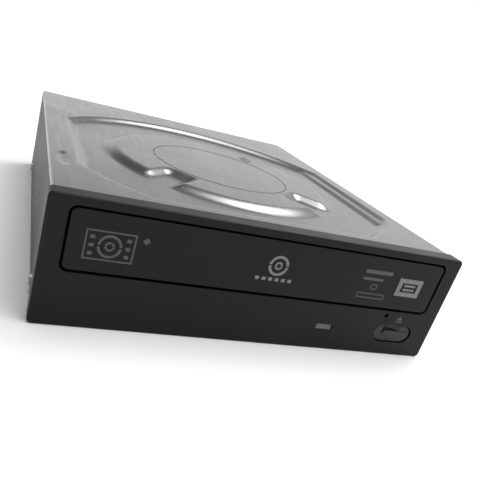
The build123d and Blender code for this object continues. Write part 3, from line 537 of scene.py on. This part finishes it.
def cover_walls():
    """Folded sides and rear of the cover with their holes, slots and socket opening."""
    top = COVER_HIGH.z - FOLD
    screw_low, screw_high = (Vector(corner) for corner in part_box("case_screws"))
    screw_z = (screw_low.z + screw_high.z) / 2
    screw_ys = (screw_low.y + SCREW_INSET, screw_high.y - SCREW_INSET)
    for side, name in ((-1, "left"), (1, "right")):
        outer = COVER_LOW.x if side < 0 else COVER_HIGH.x
        inner = outer - side * SHEET
        low = (min(outer, inner), COVER_LOW.y, COVER_LOW.z)
        high = (max(outer, inner), COVER_HIGH.y - FOLD, top)
        wall = new_piece(f"cover_{name}_wall", box_mesh(name, low, high), "root", shaded_side_steel)
        cutters = [drill(outer, y, z, MOUNT_HOLE_RADIUS, WALL_CUT) for y, z in mount_rows()]
        cutters += [drill(outer, y, screw_z, SCREW_HOLE_RADIUS, WALL_CUT) for y in screw_ys]
        cut_away(wall, cutters)
        yield wall
    rear_low = (COVER_LOW.x + FOLD, COVER_HIGH.y - SHEET, COVER_LOW.z)
    rear_mesh = box_mesh("rear", rear_low, (COVER_HIGH.x - FOLD, COVER_HIGH.y, top))
    rear = new_piece("cover_rear_wall", rear_mesh, "root", shaded_side_steel)
    socket_low, socket_high = (Vector(corner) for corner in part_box("sata_connector"))
    cutters = [box_mesh(
        "socket", Vector((socket_low.x - SOCKET_GAP, COVER_HIGH.y, -SOCKET_GAP)) - REAR_CUT,
        Vector((socket_high.x + SOCKET_GAP, COVER_HIGH.y, socket_high.z + SOCKET_HEADROOM)) + REAR_CUT)]
    for number in range(SLOT_COUNT):
        left = SLOT_START + number * SLOT_PITCH
        cutters.append(box_mesh(
            "slot", Vector((left, COVER_HIGH.y, SLOT_LOW)) - REAR_CUT,
            Vector((left + SLOT_WIDTH, COVER_HIGH.y, SLOT_HIGH)) + REAR_CUT))
    cut_away(rear, cutters)
    yield rear


def corner_posts():
    """Rounded upright folds where the cover's rear wall meets its sides."""
    bend_steps = 8
    for side, name in ((-1, "left"), (1, "right")):
        outer = COVER_LOW.x if side < 0 else COVER_HIGH.x
        centre = Vector((outer - side * FOLD, COVER_HIGH.y - FOLD))
        outline = []
        for radius in (FOLD, FOLD - SHEET):
            steps = range(bend_steps + 1)
            if radius < FOLD:
                steps = reversed(steps)
            for step in steps:
                angle = math.pi / 2 * step / bend_steps
                offset = Vector((side * math.cos(angle), math.sin(angle))) * radius
                outline.append(centre + offset)
        size = len(outline)
        points = [(p.x, p.y, z) for z in (COVER_LOW.z, COVER_HIGH.z - FOLD) for p in outline]
        faces = [(n, (n + 1) % size, size + (n + 1) % size, size + n) for n in range(size)]
        faces += [tuple(range(size - 1, -1, -1)), tuple(range(size, 2 * size))]
        mesh = closed_mesh(f"cover_{name}_corner", points, faces)
        yield new_piece(f"cover_{name}_corner", mesh, "root", shaded_side_steel)


def ring_line():
    """Fine pressed line round the spindle on the plateau, in much darker steel as painted shade along the
    line.
    """
    radius, rise, half_width, shoulder = 29.5 * MM, 0.1 * MM, 0.22 * MM, 0.7
    profile = [(-half_width, -rise), (-half_width / 2, rise * shoulder), (0, rise),
               (half_width / 2, rise * shoulder), (half_width, -rise)]
    steps, size = 180, len(profile)
    points, faces = [], []
    for step in range(steps):
        angle = 2 * math.pi * step / steps
        for offset, lift in profile:
            reach = radius + offset
            points.append((SPINDLE.x + reach * math.cos(angle), SPINDLE.y + reach * math.sin(angle),
                           COVER_HIGH.z + lift))
        here, there = step * size, ((step + 1) % steps) * size
        faces += [(here + n, here + (n + 1) % size, there + (n + 1) % size, there + n) for n in range(size)]
    mesh = closed_mesh("cover_ring_line", points, faces)
    mesh.shade_smooth()
    return new_piece("cover_ring_line", mesh, "root", ring_shade_steel)


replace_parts(cover_skin(), "top_cover")
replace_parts(ring_line(), "top_cover")
for wall in cover_walls():
    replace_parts(wall, "top_cover")
for post in corner_posts():
    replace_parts(post, "top_cover")


# ---- printed marks ----
INK = 0.03 * MM


def print_mark(name, outlines, face_y, body, material):
    """Thin ink shapes on a face that looks along -Y; each outline is a list of (x, z)."""
    points, faces = [], []
    for outline in outlines:
        first, size = len(points), len(outline)
        for y in (face_y - INK, face_y + INK):
            points += [(x, y, z) for x, z in outline]
        faces.append(tuple(first + n for n in range(size)))
        faces.append(tuple(first + size + n for n in range(size - 1, -1, -1)))
        faces += [
            (first + n, first + size + n, first + size + (n + 1) % size, first + (n + 1) % size)
            for n in range(size)
        ]
    new_piece(name, closed_mesh(name, points, faces), body, material)


def arc_band(x, z, radius, width, start, end, squash):
    """A curved band between two angles in degrees, with its height multiplied by squash."""
    steps = 28
    turns = [math.radians(start + (end - start) * n / steps) for n in range(steps + 1)]
    reach = radius + width
    outer = [(x + reach * math.cos(t), z + reach * math.sin(t) * squash) for t in turns]
    inner = [(x + radius * math.cos(t), z + radius * math.sin(t) * squash) for t in reversed(turns)]
    return outer + inner


def ring_bands(x, z, radius, width, squash=1.0):
    """A ring made of two bands, with a small gap at its left and right."""
    return [arc_band(x, z, radius, width, start, start + 172, squash) for start in (4, 184)]


def diamond(x, z, reach):
    """A small square that stands on its corner."""
    return [(x + reach, z), (x, z + reach), (x - reach, z), (x, z - reach)]


def bar(x0, x1, z0, z1):
    """A plain bar."""
    return [(x0, z0), (x1, z0), (x1, z1), (x0, z1)]


def frame_bars(x0, x1, z0, z1, width):
    """Four bars round a rectangle."""
    return [
        bar(x0, x1, z0, z0 + width), bar(x0, x1, z1 - width, z1),
        bar(x0, x0 + width, z0 + width, z1 - width), bar(x1 - width, x1, z0 + width, z1 - width),
    ]


def door_marks():
    """Generic marks for the door: framed rings, a diamond, rings over bars, and plain frames."""
    left = frame_bars(-62 * MM, -47 * MM, 23.5 * MM, 33 * MM, 0.5 * MM)
    left += ring_bands(-54.5 * MM, 28.2 * MM, 2.9 * MM, 0.8 * MM)
    left += ring_bands(-54.5 * MM, 28.2 * MM, 0.9 * MM, 0.6 * MM)
    for x in (-60.6, -49.8):
        left += [bar(x * MM, (x + 1.4) * MM, z * MM, (z + 1.1) * MM) for z in (25, 27.6, 30.2)]
    print_mark("door_mark_left", left, DOOR_FACE, "tray", ink_grey)
    print_mark("door_mark_dot", [diamond(-44 * MM, 31.5 * MM, 1.2 * MM)], DOOR_FACE, "tray", ink_grey)
    centre = ring_bands(1 * MM, 29.9 * MM, 2.7 * MM, 0.9 * MM)
    centre += ring_bands(1 * MM, 29.9 * MM, 0.8 * MM, 0.6 * MM)
    centre += [bar((-6 + n * 2.4) * MM, (-4.6 + n * 2.4) * MM, 24.3 * MM, 25.5 * MM) for n in range(6)]
    print_mark("door_mark_centre", centre, DOOR_FACE, "tray", ink_pale)
    right = [bar(34.5 * MM, 46 * MM, 32.2 * MM, 33.6 * MM), bar(34.5 * MM, 43 * MM, 29.6 * MM, 30.6 * MM)]
    right += ring_bands(40.2 * MM, 27.2 * MM, 1.0 * MM, 0.5 * MM, squash=0.8)
    right += frame_bars(34.5 * MM, 46 * MM, 22.6 * MM, 24.6 * MM, 0.4 * MM)
    print_mark("door_mark_right", right, DOOR_FACE, "tray", ink_grey)
    square = frame_bars(50 * MM, 60.4 * MM, 25 * MM, 32 * MM, 1.7 * MM)
    square += [bar(52.8 * MM, 57.6 * MM, z * MM, (z + 0.8) * MM) for z in (27.3, 28.9)]
    print_mark("door_mark_square", square, DOOR_FACE, "tray", ink_pale)


def eject_mark():
    """The usual eject sign, a triangle over a bar, above the button."""
    middle = (KEY_LOW.x + KEY_HIGH.x) / 2 + 0.4 * MM
    base = KEY_HIGH.z + 0.9 * MM
    half_width, bar_height = 1.4 * MM, 0.55 * MM
    foot, tip = base + 1.0 * MM, base + 2.5 * MM
    triangle = [(middle - half_width, foot), (middle + half_width, foot), (middle, tip)]
    underline = bar(middle - half_width, middle + half_width, base, base + bar_height)
    print_mark("eject_sign", [triangle, underline], FRONT, "root", ink_grey)


door_marks()
eject_mark()


# ---- stage, light and camera ----
def floor():
    """Plain pale floor under the drive."""
    cells = bmesh.new()
    bmesh.ops.create_grid(cells, x_segments=1, y_segments=1, size=30.0)
    mesh = bpy.data.meshes.new("floor")
    cells.to_mesh(mesh)
    cells.free()
    ground = bpy.data.objects.new("floor", mesh)
    ground.location.z = cad_low.z
    bpy.context.scene.collection.objects.link(ground)
    pale = Finish("pale_floor", Roughness=0.8)
    cloud = pale.noise(3.0, 2.0)
    pale.colour(pale.blend(cloud, grey(0.86), grey(0.9)))
    mesh.materials.append(pale.material)


def area_light(name, place, aim, size, power):
    """A soft rectangular light that faces a point."""
    data = bpy.data.lights.new(name, "AREA")
    data.shape = "RECTANGLE"
    data.size, data.size_y = size
    data.energy = power
    lamp = bpy.data.objects.new(name, data)
    lamp.location = place
    lamp.rotation_euler = (Vector(aim) - Vector(place)).to_track_quat("-Z", "Y").to_euler()
    bpy.context.scene.collection.objects.link(lamp)


def surroundings():
    """A pale studio: white low down all round, dim above that and brighter to the right."""
    world = bpy.data.worlds.new("room")
    world.use_nodes = True
    nodes, links = world.node_tree.nodes, world.node_tree.links
    direction = nodes.new("ShaderNodeTexCoord").outputs["Generated"]

    def smooth_rise(value, low, high, to_low, to_high):
        rise = nodes.new("ShaderNodeMapRange")
        rise.interpolation_type = "SMOOTHSTEP"
        for socket, limit in (("From Min", low), ("From Max", high), ("To Min", to_low), ("To Max", to_high)):
            rise.inputs[socket].default_value = limit
        links.new(value, rise.inputs["Value"])
        return rise.outputs["Result"]

    towards_light = nodes.new("ShaderNodeVectorMath")
    towards_light.operation = "DOT_PRODUCT"
    towards_light.inputs[1].default_value = (0.9, 0.25, 0.1)
    links.new(direction, towards_light.inputs[0])
    sky = smooth_rise(towards_light.outputs["Value"], 0.0, 0.8, 0.12, 0.5)
    upward = nodes.new("ShaderNodeSeparateXYZ")
    links.new(direction, upward.inputs["Vector"])
    horizon = smooth_rise(upward.outputs["Z"], 0.28, 0.40, 1.0, 0.0)
    brighter = nodes.new("ShaderNodeMath")
    brighter.operation = "MAXIMUM"
    links.new(sky, brighter.inputs[0])
    links.new(horizon, brighter.inputs[1])
    links.new(brighter.outputs[0], nodes["Background"].inputs["Strength"])
    nodes["Background"].inputs["Color"].default_value = (1.0, 1.0, 1.0, 1.0)
    bpy.context.scene.world = world
    bpy.context.scene.view_settings.view_transform = "Standard"


def wide_light():
    """One very soft light, high on the right."""
    data = bpy.data.lights.new("wide_light", "SUN")
    data.angle = math.radians(80)
    data.energy = 3.3
    lamp = bpy.data.objects.new("wide_light", data)
    lamp.rotation_euler = Vector((-0.36, 0.12, -0.9)).to_track_quat("-Z", "Y").to_euler()
    bpy.context.scene.collection.objects.link(lamp)


def camera():
    """The three-quarter view from above the left front corner."""
    data = bpy.data.cameras.new("view")
    data.sensor_width = 36.0
    data.lens = 40.38
    data.shift_x = 0.083
    data.shift_y = 0.041
    data.clip_start = 0.01
    eye = bpy.data.objects.new("view", data)
    eye.location = (-84.6 * MM, FRONT - 143.3 * MM, 89.1 * MM)
    eye.rotation_euler = Euler([math.radians(a) for a in (67.69, -15.37, -15.98)], "XYZ")
    bpy.context.scene.collection.objects.link(eye)
    bpy.context.scene.camera = eye


floor()
surroundings()
wide_light()
area_light("overhead", (0.48, 0.32, 0.76), (0.0, 0.0, 0.0), (0.5, 0.45), 2.1)
camera()
